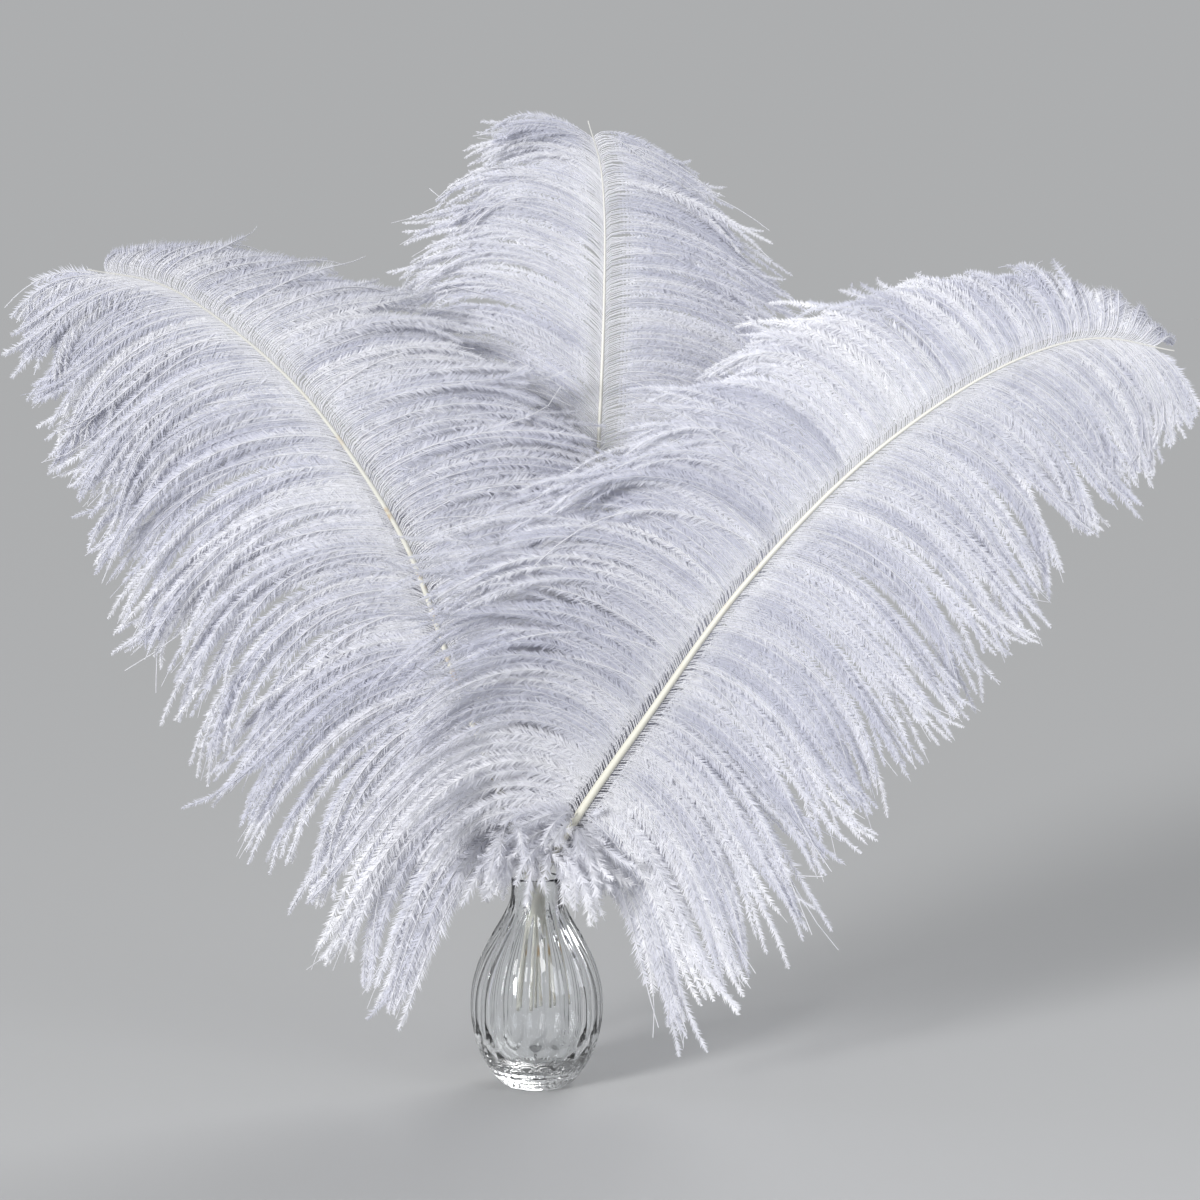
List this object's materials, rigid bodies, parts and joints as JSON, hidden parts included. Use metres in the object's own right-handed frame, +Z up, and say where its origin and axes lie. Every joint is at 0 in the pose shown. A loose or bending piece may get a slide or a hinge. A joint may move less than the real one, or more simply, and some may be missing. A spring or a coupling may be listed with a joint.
{
  "type": "ostrich plumes in a cut-crystal vase",
  "caption": "White ostrich plumes with long drooping barbs and ivory shafts, fanned out of a small fluted clear-glass vase.",
  "frame": {"origin": "centre of the vase's foot, on the surface it stands on", "axes": "+Z up along the vase's axis; +X to the right for someone facing the good side of the plumes; +Y away from them"},
  "size_m": [0.7723, 0.1631, 0.6521],
  "materials": {
    "glass": "clear polished lead crystal with cut flutes",
    "quill": "ivory horn, satin, browner in spots, thinning to grey-white at the tip",
    "barbs": "cool white down, matt, loose barbs with fine barbules"
  },
  "bodies": {
    "root": {"vase": "glass", "right_plume_shaft": "quill", "right_plume_left_vane": "barbs", "right_plume_right_vane": "barbs", "left_plume_shaft": "quill", "left_plume_left_vane": "barbs", "left_plume_right_vane": "barbs", "centre_plume_shaft": "quill", "centre_plume_left_vane": "barbs", "centre_plume_right_vane": "barbs"}
  },
  "joints": []
}
